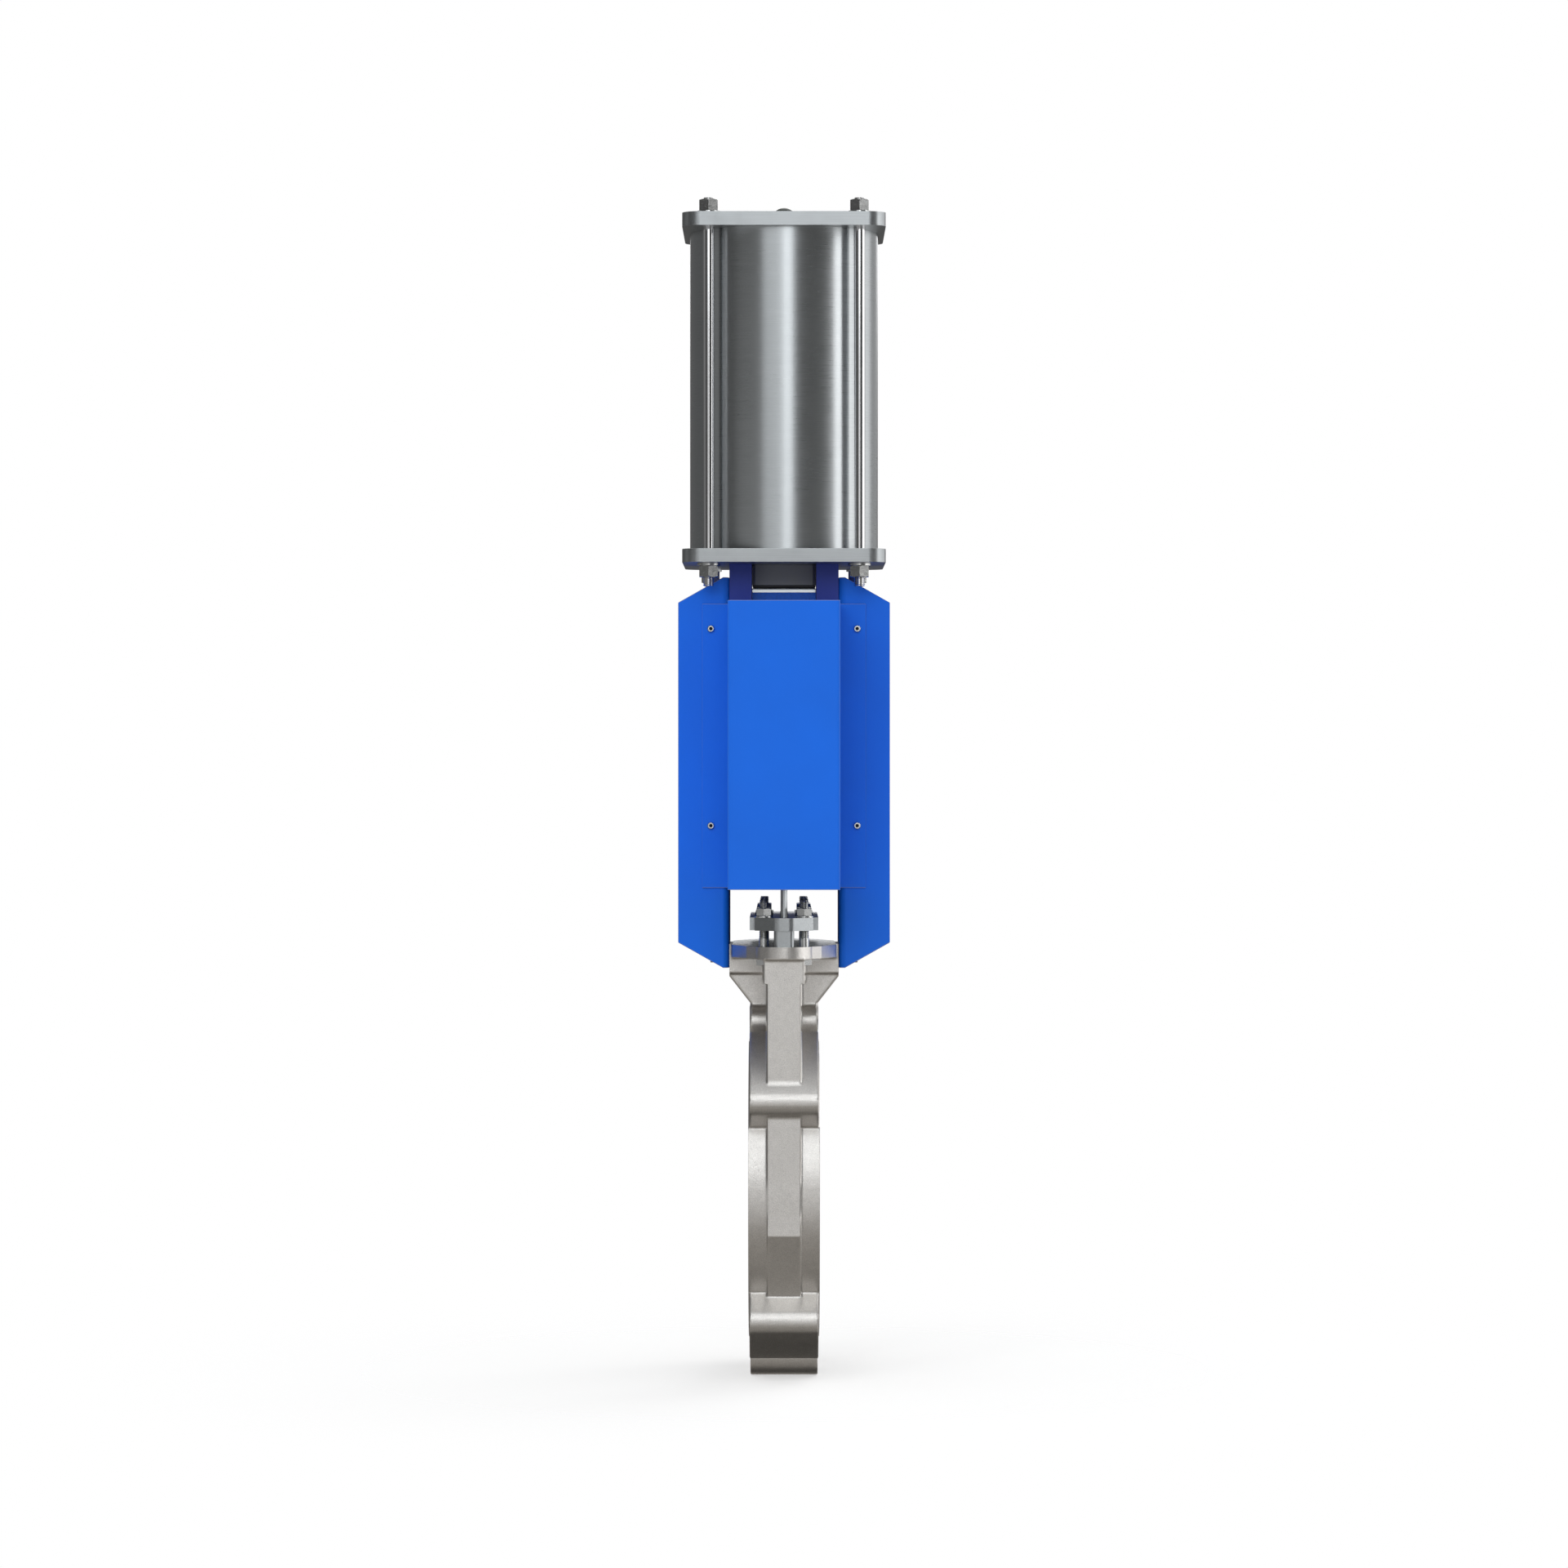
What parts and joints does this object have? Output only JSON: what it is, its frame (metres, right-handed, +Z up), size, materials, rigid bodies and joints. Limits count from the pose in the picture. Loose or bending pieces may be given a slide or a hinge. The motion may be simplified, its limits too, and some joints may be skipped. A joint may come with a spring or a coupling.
{
  "type": "pneumatic knife gate valve",
  "caption": "Wafer knife gate valve with stainless cast body, blue folded yoke with guards, and a tie-rod pneumatic cylinder that lifts the gate.",
  "frame": {"origin": "centre of the flow bore, halfway between the two flange faces", "axes": "+Z up along the gate's travel towards the cylinder, +X along the flow, -Y towards the viewer of the picture"},
  "size_m": [0.186, 0.3, 1.0325],
  "materials": {
    "cast_stainless": "cast and shot-blasted",
    "stainless": "machined satin",
    "brushed_tube": "fine turned brushing",
    "fasteners": "bright stainless",
    "polished_rod": "polished",
    "blue_paint": "satin powder coat",
    "dark_blue_paint": "satin",
    "dark_plug": "moulded",
    "plastic": "moulded",
    "rubber": "moulded",
    "bronze": "turned"
  },
  "bodies": {
    "valve": {"body": "cast_stainless", "seat_retainer": "stainless", "gland_follower": "stainless", "lower_head": "stainless", "upper_head": "stainless", "rod_guide": "stainless", "cylinder_tube": "brushed_tube", "gland_bolts": "fasteners", "gland_washers": "fasteners", "gland_nuts": "fasteners", "yoke_studs": "fasteners", "yoke_washers": "fasteners", "yoke_spring_washers": "fasteners", "yoke_nuts": "fasteners", "guard_screws": "fasteners", "block_screws": "fasteners", "guide_screws": "fasteners", "tie_rod_washers": "fasteners", "tie_rod_nuts": "fasteners", "tie_rods": "polished_rod", "yoke_plate_left": "blue_paint", "yoke_plate_right": "blue_paint", "guard_front": "blue_paint", "guard_rear": "blue_paint", "head_blocks": "dark_blue_paint", "top_plug": "dark_plug", "gate_guides": "plastic", "packing_rings": "plastic", "seat_seal": "rubber", "rod_seal": "rubber", "rod_wiper": "rubber", "tube_gaskets": "rubber", "rod_bush": "bronze"},
    "gate_assembly": {"gate": "stainless", "coupling": "stainless", "coupling_bolts": "fasteners", "coupling_washers": "fasteners", "coupling_nuts": "fasteners", "piston_rod": "polished_rod", "piston": "stainless", "piston_seals": "rubber", "piston_wear_ring": "plastic", "piston_nut": "fasteners"}
  },
  "joints": [
    {"name": "gate_slide", "type": "slide", "parent": "valve", "child": "gate_assembly", "axis": [0, 0, 1], "range_m": [-0.214, 0]}
  ]
}
